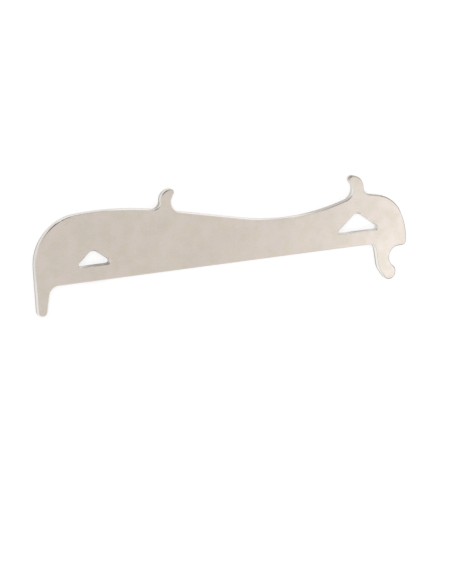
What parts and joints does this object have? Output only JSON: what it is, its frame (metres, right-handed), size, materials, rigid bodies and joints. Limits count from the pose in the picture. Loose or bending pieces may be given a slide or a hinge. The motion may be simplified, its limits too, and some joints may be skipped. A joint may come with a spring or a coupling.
{
  "type": "chain wear gauge",
  "caption": "Flat one-piece steel plate gauge: a plain prong and a notched prong below a straight edge, hooks above, and rounded triangular windows.",
  "frame": {"origin": "centre of the bounding box of the plate in plan, on the back face that it lies on", "axes": "+X along the plate from the plain prong to the notched prong, +Y in the plane of the plate from the prongs to the hooks, +Z out of the front face"},
  "size_m": [0.1402, 0.0424, 0.0025],
  "materials": {
    "satin_steel": "satin plated steel"
  },
  "bodies": {
    "root": {"gauge_plate": "satin_steel"}
  },
  "joints": []
}
